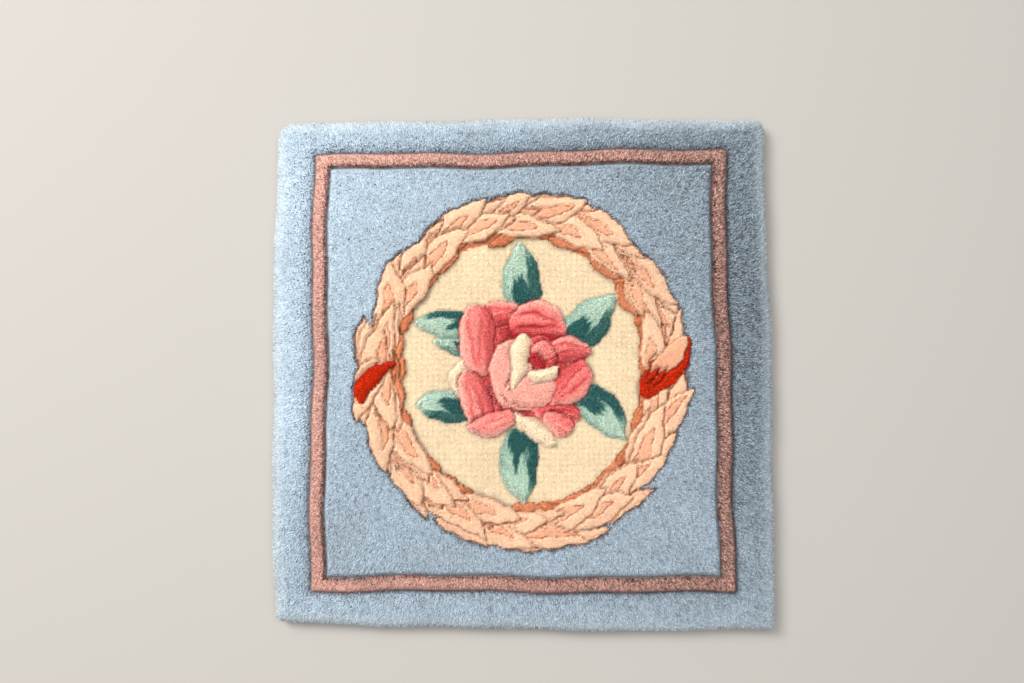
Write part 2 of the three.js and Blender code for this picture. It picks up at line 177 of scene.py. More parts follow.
# Leaves that spread from under the rose: angle and reach from the rug's middle, size, twist off that angle,
# bend, S-curve, the dark side, how strong it is, and how far the dark heart reaches
Leaf = namedtuple("Leaf", "angle reach length width twist bend sway side strength heart")
LEAVES = (
    Leaf(90, 58, 40, 24, 5, 0, 1, -1, 0.9, 0.1),
    Leaf(35, 54, 40, 24, 10, 1.5, 1, -1, 0.9, 0.05),
    Leaf(-30, 54, 44, 24, -10, 3, -1.5, 1, 1.0, 0.15),
    Leaf(-90, 58, 46, 24, 0, -1.5, 1.5, 1, 1.0, 0.1),
    Leaf(205, 53, 36, 20, -30, 0, 1, 1, 0.9, 0.25),
    Leaf(160, 46, 24, 12, 10, -1, 0, 1, 0.4, 0.1),
    Leaf(150, 56, 34, 18, 25, -1, 1, -1, 1.0, -0.1),
)
LEAF_FORM = {"taper": 0.16, "foot": 0.45, "point": 0.8, "level": 12, "crown": 1.6}

# Dyes of such a leaf, in shares of its half length and half width: brushed strokes, a teal heart like a
# flame, a teal flank, and mint that pales toward the tip and darkens at the rims
Stroke = namedtuple("Stroke", "count share")
STROKES = (Stroke(11, 0.12), Stroke(27, 0.07))
FLAME_LENGTH = 1.1
FLAME_WIDTH = 0.8
FLAME_ASIDE = 0.12
FLAME_CURVE = 1.3
FLAME_EDGE = 0.1
FLANK_EDGES = (0.24, 0.52)
FLANK_ENDS = (0.9, 0.3)
FLANK_SLANT = 0.22
FLANK_STROKES = 0.8
MINT_TONE = 1.9
MINT_TIP = 0.25
MINT_RIM = 0.6
RIM_START = 0.65

# The rose: petals stand round its heart, each folded in on the heart's side. Angle and reach from the rose's
# middle, size, twist off the ring, height, yarn tone and how dark and deep the fold is
Petal = namedtuple("Petal", "angle reach length width twist level tone fold")
PETALS = (
    Petal(120, 25, 30, 18, 75, 12.6, 0.6, 0.5),
    Petal(110, 36, 24, 17, -15, 13.0, 1.2, 0.9),
    Petal(145, 31, 44, 23, -140, 12.8, 1.5, 0.9),
    Petal(70, 29, 38, 25, 10, 13.2, 1.3, 1.4),
    Petal(-50, 32, 30, 17, -55, 12.5, 1.0, 0.7),
    Petal(-15, 30, 32, 22, -35, 13.3, 1.3, 0.9),
    Petal(20, 31, 24, 17, 70, 13.5, 1.25, 0.9),
    Petal(-55, 38, 20, 14, -75, 12.8, 1.6, 0.6),
    Petal(-140, 25, 32, 14, 0, 12.8, 0.8, 0.4),
    Petal(-150, 32, 38, 19, -10, 13.0, 1.5, 0.9),
    Petal(-120, 36, 30, 15, 40, 13.2, 1.65, 0.5),
)
# Two creases run together toward a petal's tip: where they cross its middle, and their slant
Crease = namedtuple("Crease", "start slant")
CREASES = (Crease(-0.3, 0.25), Crease(0.2, -0.15))
CREASE_WIDTH = 0.1
CREASE_SHARE = 0.75
CREASE_END = 0.5
FOLD_START = 0.2
FOLD_WIDTH = 0.8
FOLD_DEPTH = 0.8
RIM_PALE = 0.45
PALE_EDGES = (0.4, 0.95)
PETAL_BEND = 0.1
PETAL_FORM = {"sway": 0.6, "taper": 0.12, "foot": 0.42, "point": 0.5, "crown": 1.9, "shade": 0.1, "glow": 0.1}
# The bed under the petals: deep rose yarn, partly painted shade where it shows between them
ROSE_BED = (0, 0, 60, 56, 90, 0, 0, 0, 0.4, 0.4, 11.2, 0.3, 0.45, 0, 0)
# Cream edges turned over at the left and below, and the heart: a ball with a hollow, a bud in it, a cup,
# and a cream fold and bar
TURNED_EDGES = (
    (-36, -5, 25, 10, -95, -3.5, 0, 0, 0.4, 0.4, 12, 1.2, 3, 0, 0),
    (7, -36, 32, 11, -35, -1, 0, 0, 0.5, 0.4, 12.4, 1.6, 3, 0, 0),
)
HEART = (
    (0, -2, 46, 40, 90, 0, 0, 0.08, 0.45, 0.45, 13.4, 2.4, 1.85, 0, 0.15),
    (12, 10, 24, 18, -80, 0, 0, 0, 0.42, 0.42, 13.6, 0.8, 0.4, -0.1, 0.2),
    (13, 12, 15, 11, -20, 0.8, 0, 0, 0.42, 0.42, 14.2, 1.4, 1.4, -0.2, 0),
    (9, 6, 13, 8, -50, 0, 0, 0, 0.5, 0.6, 14.2, 0.4, 0, 0, 0.3),
    (5, -12, 32, 20, 5, -1, 0, 0, 0.42, 0.42, 14.2, 2.2, 1.9, 0, 0.15),
    (-2, 5, 36, 10, -105, 0, 2.2, 0.3, 0.25, 0.5, 15.2, 1.6, 3, 0, 0),
    (12, -2, 20, 8, 5, -0.8, 0, -0.1, 0.25, 0.2, 15, 1.6, 3, 0, 0),
)
CREAM_TONE = 2.9
CREAM_LINE = 0.25
STREAK = Stroke(9, 0.08)

# Painted light and shade where the long pile's stroke catches the light over the rug, per 100 mm across and
# along
NAP_REACH = 100.0
# How much stronger the speckle is where the pile is painted darker
NAP_CONTRAST = 2.0
# Painted highlight along the rug's edge: width of its band, how far the yarn pales, and how bright it is
EDGE_BAND = 11.0
EDGE_HIGHLIGHT = 0.8
EDGE_SHADE = 1.09
NapLight = namedtuple("NapLight", "level across along both ends corner")
FIELD_NAP_LIGHT = NapLight(0.97, -0.1, -0.02, -0.09, 0, 0)
MARGIN_NAP_LIGHT = NapLight(0.92, -0.24, -0.04, -0.04, 0.045, 0.05)
STRIPE_NAP_LIGHT = NapLight(0.84, -0.14, 0, 0, 0.06, 0)


def linear(hex_colour):
    """A linear colour from an sRGB hex value."""
    parts = [int(hex_colour[k:k + 2], 16) / 255 for k in (1, 3, 5)]
    return [p / 12.92 if p <= 0.04045 else ((p + 0.055) / 1.055) ** 2.4 for p in parts]


class RugSizes(bpy.types.PropertyGroup):
    """Sizes of the pile that a user would change."""

    field_height: FloatProperty(name="Field height", default=0.015, unit="LENGTH",
                                description="Top of the field's pile above the floor")
    medallion_height: FloatProperty(name="Medallion height", default=0.0105, unit="LENGTH",
                                    description="Top of the low-sheared cream ground")
    stripe_width: FloatProperty(name="Stripe width", default=0.0092, unit="LENGTH",
                                description="Width of the mauve border stripe")
    groove_depth: FloatProperty(name="Groove depth", default=0.0036, unit="LENGTH",
                                description="Depth of the cut beside the stripe")
    shoulder_width: FloatProperty(name="Shoulder width", default=0.009, unit="LENGTH",
                                  description="How far in the pile rolls over at the edge")
    shoulder_drop: FloatProperty(name="Shoulder drop", default=0.008, unit="LENGTH",
                                 description="How far the pile rolls down at the edge")
    foot_inset: FloatProperty(name="Foot inset", default=0.0018, unit="LENGTH",
                              description="How far the foundation lies inside the pile's edge")
    tuft_pitch: FloatProperty(name="Tuft pitch", default=0.00094, unit="LENGTH",
                              description="Distance between neighbouring yarn ends")
    tuft_length: FloatProperty(name="Tuft length", default=0.003, unit="LENGTH",
                               description="Length of yarn that stands free of the pile body")
    seed: IntProperty(name="Seed", description="Start of the hand-work scatter", default=7)


def pile_colour(name, hex_colour):
    """A colour property for one yarn."""
    return FloatVectorProperty(name=name, description=f"Colour of the {name.lower()} yarn", subtype="COLOR",
                               default=linear(hex_colour), min=0, max=1)


class YarnColours(bpy.types.PropertyGroup):
    """Colours of the dyed yarns."""

    # Pale blue for the painted highlight along the rug's edge
    frost: pile_colour("Edge frost", "#BFC8CC")
    blue: pile_colour("Field blue", "#A9B8C4")
    # Dark blue for the painted shadow in the cuts of the blue pile
    slate_shadow: pile_colour("Cut edge slate", "#4C5661")
    mauve: pile_colour("Stripe mauve", "#C89E92")
    # Dark red-brown for the painted shadow in the cuts of the stripe
    umber_shadow: pile_colour("Cut edge umber", "#7A463C")
    brown: pile_colour("Wreath brown", "#8E5232")
    terracotta: pile_colour("Wreath terracotta", "#D8875C")
    peach: pile_colour("Wreath peach", "#EBB898")
    pale_peach: pile_colour("Wreath pale peach", "#F2D2B4")
    cream: pile_colour("Medallion cream", "#E8D5B6")
    deep_rose: pile_colour("Deep rose", "#B02B30")
    rose: pile_colour("Rose", "#EC7C79")
    pale_rose: pile_colour("Pale rose", "#F1B8A9")
    rose_cream: pile_colour("Rose cream", "#F2DFC2")
    teal: pile_colour("Leaf teal", "#2F605E")
    sage: pile_colour("Leaf sage", "#739C8E")
    mint: pile_colour("Leaf mint", "#BDD1C0")
    scarlet: pile_colour("Tie scarlet", "#C83005")
    crimson: pile_colour("Tie crimson", "#9A180A")


def unevenness(index):
    """Repeatable hand-work scatter between -1 and 1."""
    return 2 * ((math.sin(index * 12.9898) * 43758.5453) % 1.0) - 1


def smoothstep(start, end, value):
    """A soft step from 0 at start to 1 at end."""
    share = np.clip((value - start) / (end - start), 0, 1)
    return share * share * (3 - 2 * share)


def scattered(spread, share):
    """A measure at a share of its scatter."""
    return spread.middle + spread.scatter * share


def hand_drawn(x, y):
    """Moves points a little sideways, so that the carving's outlines waver."""
    moved_x, moved_y = x.copy(), y.copy()
    for waver in WAVERS:
        across, along = math.cos(math.radians(waver.heading)), math.sin(math.radians(waver.heading))
        sway = waver.sway * np.sin(2 * np.pi * (x * across + y * along) / waver.length + waver.start)
        moved_x -= sway * along
        moved_y += sway * across
    return moved_x, moved_y


def garland_leaf(row, way, place, seed):
    """One leaf of a garland, and the panel in it, turned along the wreath and a little uneven."""
    scatter = [unevenness(7 * seed + k) for k in range(6)]
    angle = math.pi * (1 - way * (place + row.shift + PLACE_SCATTER * scatter[0]) / GARLAND_LEAVES)
    reach = row.reach + REACH_SCATTER * scatter[1]
    across, along = WREATH_OVAL
    onward = math.degrees(math.atan2(-way * along * math.cos(angle), way * across * math.sin(angle)))
    turn = onward + way * (row.tilt + TURN_SCATTER * scatter[2])
    leaf = Pad(WREATH, GARLAND_CUT, across * reach * math.cos(angle), along * reach * math.sin(angle),
               length=row.length * scattered(LEAF_LENGTH, scatter[3]),
               width=row.width * scattered(LEAF_WIDTH, scatter[4]), turn=turn,
               bend=-way * scattered(LEAF_BEND, scatter[5]), sway=SWAY_SCATTER * scatter[0],
               level=row.level, crown=row.crown, tone=row.tone, **GARLAND_FORM)
    if not row.panel:
        return [leaf]
    aside = scattered(PANEL_ASIDE, scatter[4]) * way * leaf.width
    back = scattered(PANEL_BACK, scatter[5]) * leaf.length
    ahead, side = math.cos(math.radians(turn)), math.sin(math.radians(turn))
    panel = leaf._replace(cut=PANEL_CUT, x=leaf.x + back * ahead - aside * side,
                          y=leaf.y + back * side + aside * ahead,
                          length=scattered(PANEL_LENGTH, scatter[1]) * row.panel * leaf.length,
                          width=scattered(PANEL_WIDTH, scatter[3]) * leaf.width,
                          turn=turn + scattered(PANEL_TURN, scatter[0]) * way, bend=PANEL_BEND * leaf.bend,
                          level=leaf.level + PANEL_RISE, tone=leaf.tone - PANEL_DARK, **PANEL_FORM)
    return [leaf, panel]


def rose_leaf(leaf):
    """One leaf that spreads from under the rose."""
    angle = math.radians(leaf.angle)
    return Pad(LEAF, LEAF_CUT, leaf.reach * math.cos(angle), leaf.reach * math.sin(angle), leaf.length,
               leaf.width, leaf.angle + leaf.twist, leaf.bend, leaf.sway, **LEAF_FORM, tone=leaf.side,
               shade=leaf.strength, glow=leaf.heart)


def ring_petal(petal):
    """One petal of the rose, folded in on the side that faces the heart."""
    angle = math.radians(petal.angle)
    x, y = petal.reach * math.cos(angle), petal.reach * math.sin(angle)
    turn = petal.angle - 90 + petal.twist
    ahead, side = math.cos(math.radians(turn)), math.sin(math.radians(turn))
    inward = 1 if x * side > y * ahead else -1
    return Pad(ROSE, PETAL_CUT, x, y, petal.length, petal.width, turn, -PETAL_BEND * inward * petal.width,
               **PETAL_FORM, level=petal.level, tone=petal.tone, fold=inward * petal.fold)


def carved_pads():
    """Every pad of the carving, each over the ones before it: leaf tips lie over the next leaf's foot."""
    pads = []
    seed = 0
    for way in (1, -1):
        for place in reversed(range(GARLAND_LEAVES + 1)):
            for row in GARLAND_ROWS:
                seed += 1
                pads += garland_leaf(row, way, place, seed)
    pads += [Pad(row[0], GARLAND_CUT, *row[1:]) for row in TIES]
    pads += [rose_leaf(leaf) for leaf in LEAVES]
    pads += [Pad(ROSE, PETAL_CUT, *row) for row in (ROSE_BED, *TURNED_EDGES)]
    pads += [ring_petal(petal) for petal in PETALS]
    pads += [Pad(ROSE, PETAL_CUT, *row) for row in HEART]
    return pads


def inset_from(outline, x, y):
    """Distance in from an uneven four-sided outline with rounded corners."""
    top_left, top_right, low_right, low_left = (corner.radius for corner in outline.corners)
    radius = np.where(y > 0, np.where(x < 0, top_left, top_right), np.where(x < 0, low_left, low_right))
    nearest = np.full(np.shape(x), np.inf)
    corner_sum = np.zeros(np.shape(x))
    for side, start in enumerate(outline.corners):
        end = outline.corners[(side + 1) % 4]
        across, up = end.x - start.x, end.y - start.y
        length = math.hypot(across, up)
        along = ((x - start.x) * across + (y - start.y) * up) / length
        inset = ((x - start.x) * up - (y - start.y) * across) / length
        inset = inset + outline.bow * (1 - (2 * along / length - 1) ** 2)
        for wave in WAVES:
            inset = inset + outline.wave * wave.share * np.sin(along / wave.length + wave.turn * side)
        nearest = np.minimum(nearest, inset)
        corner_sum += np.clip(radius - inset, 0, None) ** 2
    return np.where(nearest > radius, nearest, radius - np.sqrt(corner_sum))


def leaf_tone(pad, u, share):
    """Mint leaf with a teal heart, pointed like a flame, at its foot, and one teal flank."""
    side, strength, heart_reach = pad.tone, pad.shade, pad.glow
    strokes = sum(stroke.share * np.sin(stroke.count * share + start)
                  for stroke, start in zip(STROKES, (pad.x, pad.y)))
    flame = heart_reach - FLAME_LENGTH * (np.abs(share + FLAME_ASIDE * side) / FLAME_WIDTH) ** FLAME_CURVE
    heart = smoothstep(FLAME_EDGE, -FLAME_EDGE, u + strokes - flame)
    flank = smoothstep(*FLANK_EDGES, share * side - FLANK_SLANT * u + FLANK_STROKES * strokes)
    flank = flank * smoothstep(*FLANK_ENDS, u) * strength
    mint = MINT_TONE + MINT_TIP * u - MINT_RIM * smoothstep(RIM_START, 1, np.abs(share))
    return mint * (1 - np.maximum(heart, flank))


def petal_fold(pad, u, share):
    """How far a petal is folded: in on the side that faces the heart, and along its creases."""
    across = share * math.copysign(1, pad.fold)
    hollow = smoothstep(0, FOLD_WIDTH, across - FOLD_START * u * u)
    creases = sum(np.exp(-((across - crease.start - crease.slant * u) / CREASE_WIDTH) ** 2)
                  for crease in CREASES)
    return abs(pad.fold) * (hollow + CREASE_SHARE * creases * smoothstep(1, CREASE_END, np.abs(u)))


def pad_tone(pad, u, share, depth):
    """Yarn tone inside a pad: along it, toward its rims, in faint streaks, and dark where it is cut."""
    if pad.zone == LEAF:
        return leaf_tone(pad, u, share)
    cream = pad.zone == ROSE and pad.tone > CREAM_TONE
    line = CREAM_LINE * pad.cut.line if cream else pad.cut.line
    streak = 0.0 if cream else STREAK.share * np.sin(STREAK.count * share + pad.x + pad.y)
    tone = pad.tone + pad.shade * u + pad.glow * share ** 2 + streak
    if pad.fold:
        outer_rim = smoothstep(*PALE_EDGES, -share * math.copysign(1, pad.fold))
        tone = tone - petal_fold(pad, u, share) + RIM_PALE * outer_rim
    # Darker along the cut: partly outline yarn, partly painted shade of the cut
    return tone - line * smoothstep(*LINE_DEPTHS, depth)


Chart = namedtuple("Chart", "height zone tone inset hollow")
CHART_STEP = 0.4
CHART_REACH = 164.0
HOLLOW_REACH = 1.6


def carve_pad(pad, x, y, height, zone, tone):
    """Carves one more pad into the chart's arrays."""
    reach = 0.5 * math.hypot(pad.length, pad.width) + abs(pad.bend) + abs(pad.sway) + CUT_ROOM
    near = np.nonzero((np.abs(x - pad.x) < reach) & (np.abs(y - pad.y) < reach))
    dx, dy = x[near] - pad.x, y[near] - pad.y
    turn = math.radians(pad.turn)
    u = (dx * math.cos(turn) + dy * math.sin(turn)) / (pad.length / 2)
    v = dy * math.cos(turn) - dx * math.sin(turn) - (pad.bend + pad.sway * u) * (1 - u * u)
    sharpness = np.where(u > 0, pad.point, pad.foot)
    half = pad.width / 2 * np.clip(1 - u * u, 0, None) ** sharpness * (1 - pad.taper * u)
    past = (np.abs(u) - 1) * pad.length / 2
    depth = np.where(past < 0, half - np.abs(v), -np.hypot(v, past))
    share = v / np.maximum(half, THINNEST_HALF)
    floor = max(pad.level - pad.cut.drop, DEEPEST_CUT)
    old = height[near]
    groove = floor + (old - floor) * -depth / pad.cut.groove
    dome = pad.level + pad.crown * (1 - share ** 2) * (1 - DOME_FALL * u * u)
    if pad.fold:
        dome = dome - FOLD_DEPTH * petal_fold(pad, u, share)
    rolled = np.sqrt(1 - (1 - np.clip(depth / pad.cut.rim, 0, 1)) ** 2)
    inside = depth > 0
    cut = ~inside & (depth > -pad.cut.groove)
    around = np.where(cut, np.minimum(old, groove), old)
    height[near] = np.where(inside, floor + (dome - floor) * rolled, around)
    # Painted shadow: the field beside a pad's cut gets darker tones
    line = np.maximum(tone[near], FIELD_CUT_SHADOW + depth / pad.cut.groove)
    beside = np.where(cut & (zone[near] == FIELD), line, tone[near])
    tone[near] = np.where(inside, pad_tone(pad, u, share, depth), beside)
    zone[near] = np.where(inside, pad.zone, zone[near])


def soften(layer, reach):
    """A layer of the chart averaged over a square of this reach, twice."""
    cells = max(int(round(reach / CHART_STEP)), 1)
    for axis in (0, 1, 0, 1):
        layer = sum(np.roll(layer, shift, axis) for shift in range(-cells, cells + 1)) / (2 * cells + 1)
    return layer


def carve_chart(sizes):
    """Heights, yarn zones and tones of the whole pile face on an even grid, in millimetres."""
    ticks = np.arange(-CHART_REACH, CHART_REACH + CHART_STEP / 2, CHART_STEP)
    x, y = np.meshgrid(ticks, ticks, indexing="ij")
    stripe_width = sizes.stripe_width / MM
    in_stripe = inset_from(STRIPE_LINE, x, y)
    stripe = (in_stripe > 0) & (in_stripe < stripe_width)
    zone = np.where(in_stripe < 0, MARGIN, np.where(stripe, STRIPE, FIELD))
    inset = inset_from(RUG, x, y)
    # Painted shadow: darker tones along both cuts of the stripe, and painted shade where the margin dips to
    # it
    outer_shadow, inner_shadow, valley_shade = (line.dark * np.exp(-(away / line.width) ** 2) for line, away in (
        (OUTER_SHADOW, in_stripe), (INNER_SHADOW, in_stripe - stripe_width), (VALLEY_SHADE, in_stripe)))
    valley_shade = np.where(in_stripe < 0, valley_shade, 0)
    tone = np.where(stripe, outer_shadow + inner_shadow, 1 + outer_shadow + FIELD_SHARE * inner_shadow + valley_shade)
    # Painted highlight: the pile's tone pales toward the rug's edge
    tone -= EDGE_HIGHLIGHT * smoothstep(EDGE_BAND, 0, inset)
    height = np.full(x.shape, sizes.field_height / MM) + STRIPE_RISE * stripe
    slope = np.where(in_stripe < 0, MARGIN_SLOPE, STRIPE_SLOPE)
    height -= sizes.groove_depth / MM * np.exp(-np.abs(in_stripe / slope) ** SLOPE_POWER)
    height -= sizes.groove_depth / MM * np.exp(-((in_stripe - stripe_width) / FIELD_SLOPE) ** 2)
    drawn_x, drawn_y = hand_drawn(x, y)
    from_middle = np.hypot(drawn_x / MEDALLION_OVAL[0], drawn_y / MEDALLION_OVAL[1])
    on_bed = np.hypot(drawn_x / WREATH_OVAL[0], drawn_y / WREATH_OVAL[1]) < BED_REACH
    bed = (from_middle >= 1) & on_bed
    ground = sizes.medallion_height / MM
    rise = smoothstep(1, 1 + MEDALLION_WALL, from_middle)
    height = np.where(on_bed, ground + (BED_HEIGHT - ground) * rise, height)
    zone = np.where(from_middle < 1, GROUND, np.where(bed, WREATH, zone))
    tone = np.where(bed, BED_TONE, tone)
    for pad in carved_pads():
        carve_pad(pad, drawn_x, drawn_y, height, zone, tone)
    hollow = np.clip(soften(height, HOLLOW_REACH) - height, 0, None)
    lean = np.clip(1 - inset / (sizes.shoulder_width / MM), 0, 1)
    height -= sizes.shoulder_drop / MM * (1 - np.sqrt(1 - lean * lean))
    return Chart(height, zone, tone, inset, hollow)


def read_chart(layer, x, y):
    """Values of one layer of the chart at points, taken from the nearest grid point."""
    i = np.clip(np.rint((x + CHART_REACH) / CHART_STEP).astype(int), 0, layer.shape[0] - 1)
    j = np.clip(np.rint((y + CHART_REACH) / CHART_STEP).astype(int), 0, layer.shape[1] - 1)
    return layer[i, j]


def nap_shade(x, y, zone):
    """Painted light and shade of the stroked long pile, and a painted highlight at the rug's edge."""
    across, along = x / NAP_REACH, y / NAP_REACH
    field, margin, stripe = (nap.level + nap.across * across + nap.along * along + nap.both * across * along
                             + (nap.ends + nap.corner * across) * along ** 2
                             for nap in (FIELD_NAP_LIGHT, MARGIN_NAP_LIGHT, STRIPE_NAP_LIGHT))
    margin += (EDGE_SHADE - margin) * smoothstep(EDGE_BAND, 0, inset_from(RUG, x, y))
    return np.select([zone == FIELD, zone == MARGIN, zone == STRIPE], [field, margin, stripe], 1.0)


def yarn_dye_and_shade(zone, tone, colours):
    """Linear yarn colours from zones and tones, with the painted shadows and highlight in the tones."""
    dye_and_shade = np.ones((len(zone), 4))
    for index, kind in enumerate(ZONES):
        mine = zone == index
        yarns = np.array([getattr(colours, name) for name in kind.yarns])
        for channel in range(3):
            dye_and_shade[mine, channel] = np.interp(tone[mine], np.arange(len(yarns)), yarns[:, channel])
    return dye_and_shade


def add_node(tree, kind, settings=None, **links):
    """Adds a shader node with its settings, and links or values for its inputs."""
    node = tree.nodes.new(kind)
    for name, value in (settings or {}).items():
        setattr(node, name, value)
    for name, value in links.items():
        socket = node.inputs[int(name[1:])] if name[1:].isdigit() else node.inputs[name.replace("_", " ")]
        if isinstance(value, bpy.types.NodeSocket):
            tree.links.new(value, socket)
        else:
            socket.default_value = value
    return node


def new_material(name):
    """An empty material with a principled shader, and its node tree."""
    material = bpy.data.materials.new(name)
    material.use_nodes = True
    return material, material.node_tree, material.node_tree.nodes["Principled BSDF"]


# Sizes of what shows in the wool: rows of knots, clumps of yarn ends, and clouds in the dye. A wave texture
# runs through BAND_RATE radians in each unit of its scale
KNOT_ROW = 3.4 * MM
CLUMP_SIZE = 2.2 * MM
CLOUD_SIZE = 30 * MM
BAND_RATE = 20
ROW_SCALE = 2 * math.pi / (BAND_RATE * KNOT_ROW)

# Kinds of pile: how much the yarn ends clump, how much the rows of knots show, and how cloudy the dye is
Wool = namedtuple("Wool", "name clumping weave clouds")
LONG_PILE = Wool("cut wool, long pile", 0.5, 0, 0.4)
CARVED_PILE = Wool("cut wool, carved pile", 0.12, 0, 0.2)
LOW_PILE = Wool("cut wool, sheared low", 0.22, 0.17, 0.3)
PILE_ROOTS = Wool("cut wool, roots of the pile", 0.2, 0, 0.2)
WOOL_FINISH = {"Roughness": 0.92, "Specular IOR Level": 0.08, "Sheen Weight": 0.06, "Sheen Roughness": 0.6}


def cut_wool(wool):
    """Cut wool pile: matte yarn ends with painted shade between them, clumping and coloured in soft clouds.

    A low shearing lets the rows of knots show through as a faint grid.
    """
    material, tree, shader = new_material(wool.name)
    dye_and_shade = add_node(tree, "ShaderNodeAttribute", {"attribute_name": "dye_and_shade"})
    shade = add_node(tree, "ShaderNodeAttribute", {"attribute_name": "shade"})
    place = add_node(tree, "ShaderNodeTexCoord")
    clump = add_node(tree, "ShaderNodeTexNoise", None, Vector=place.outputs["Object"], Scale=1 / CLUMP_SIZE,
                     Detail=1.0)
    cloud = add_node(tree, "ShaderNodeTexNoise", None, Vector=place.outputs["Object"], Scale=1 / CLOUD_SIZE,
                     Detail=2.0)
    clumped = add_node(tree, "ShaderNodeMath", {"operation": "MULTIPLY_ADD"}, _0=clump.outputs["Fac"],
                       _1=wool.clumping, _2=1 - wool.clumping / 2 - wool.clouds / 2)
    cloudy = add_node(tree, "ShaderNodeMath", {"operation": "MULTIPLY_ADD"}, _0=cloud.outputs["Fac"],
                      _1=wool.clouds, _2=clumped.outputs[0])
    # Painted shade: the yarn's value is multiplied by the painted shade layer
    value = add_node(tree, "ShaderNodeMath", {"operation": "MULTIPLY"}, _0=cloudy.outputs[0],
                     _1=shade.outputs["Fac"])
    if wool.weave:
        rows = [add_node(tree, "ShaderNodeTexWave", {"bands_direction": way}, Vector=place.outputs["Object"],
                         Scale=ROW_SCALE, Distortion=1.6) for way in ("X", "Y")]
        knots = add_node(tree, "ShaderNodeMath", {"operation": "ADD"}, _0=rows[0].outputs["Fac"],
                         _1=rows[1].outputs["Fac"])
        grid = add_node(tree, "ShaderNodeMath", {"operation": "MULTIPLY_ADD"}, _0=knots.outputs[0],
                        _1=wool.weave, _2=1 - wool.weave)
        value = add_node(tree, "ShaderNodeMath", {"operation": "MULTIPLY"}, _0=value.outputs[0],
                         _1=grid.outputs[0])
    dyed_and_shaded = add_node(tree, "ShaderNodeHueSaturation", None, Color=dye_and_shade.outputs["Color"], Value=value.outputs[0])
    tree.links.new(dyed_and_shaded.outputs["Color"], shader.inputs["Base Color"])
    for name, value in WOOL_FINISH.items():
        shader.inputs[name].default_value = value
    return material


def cotton_back():
    """Plain-woven cotton foundation: ivory warp and weft, one crossing for each row of knots."""
    material, tree, shader = new_material("woven cotton foundation")
    place = add_node(tree, "ShaderNodeTexCoord")
    rows = [add_node(tree, "ShaderNodeTexWave", {"bands_direction": way}, Vector=place.outputs["Object"],
                     Scale=ROW_SCALE, Distortion=0.6) for way in ("X", "Y")]
    weave = add_node(tree, "ShaderNodeMath", {"operation": "MAXIMUM"}, _0=rows[0].outputs["Fac"],
                     _1=rows[1].outputs["Fac"])
    ramp = add_node(tree, "ShaderNodeValToRGB", None, Fac=weave.outputs[0])
    ramp.color_ramp.elements[0].color = (*linear("#B9AB8F"), 1)
    ramp.color_ramp.elements[1].color = (*linear("#E6DCC6"), 1)
    bump = add_node(tree, "ShaderNodeBump", None, Height=weave.outputs[0], Strength=0.6, Distance=0.5 * MM)
    tree.links.new(ramp.outputs["Color"], shader.inputs["Base Color"])
    tree.links.new(bump.outputs["Normal"], shader.inputs["Normal"])
    shader.inputs["Roughness"].default_value = 0.9
    return material


def store_layer(mesh, name, values):
    """Keeps a number or a colour for each point of a mesh as a named attribute."""
    values = np.ascontiguousarray(values, dtype=np.float32)
    kind, field = ("FLOAT_COLOR", "color") if values.ndim > 1 else ("FLOAT", "value")
    mesh.attributes.new(name, kind, "POINT").data.foreach_set(field, values.ravel())


def new_primitive(name):
    """Names the primitive that was just added."""
    piece = bpy.context.active_object
    piece.name = name
    piece.data.name = name
    return piece


HALVINGS = 40


def outline_reach(outline, inset, angle):
    """How far out the outline's inset falls to a value, along directions from the middle."""
    near = np.zeros(angle.shape)
    far = np.full(angle.shape, 2 * CHART_REACH)
    for _ in range(HALVINGS):
        middle = (near + far) / 2
        within = inset_from(outline, middle * np.cos(angle), middle * np.sin(angle)) > inset
        near, far = np.where(within, middle, near), np.where(within, far, middle)
    return near


# The pile body: its grid, how far it lies inside the yarn ends along the rug's sides, how much its carving is
# softened, and the share of a yarn end that stands free of it
BODY_GRID = 300
BODY_INSET = 2.2
BODY_SOFTNESS = 0.8
FREE_SHARE = 0.5
UNDERSIDE = 0.01

# Painted shade at the yarn's root and painted highlight at its tip, how its speckle fades on pale dyes
# and how far it goes, and how much painted shade the hollows of the carving get
ROOT_SHADE = 0.74
TIP_SHADE = 1.14
DARK_SPECKLE = 1.3
SPECKLE_RANGE = (-0.7, 1)
HOLLOW_SHADE = 0.55
HOLLOW_DEPTH = 1.6


def carved_shade(chart, x, y):
    """Painted shade at points: the nap's painted light and shade, and painted shade down in the cuts."""
    hollow = np.clip(read_chart(chart.hollow, x, y) / HOLLOW_DEPTH, 0, 1)
    return nap_shade(x, y, read_chart(chart.zone, x, y)) * (1 - HOLLOW_SHADE * hollow)


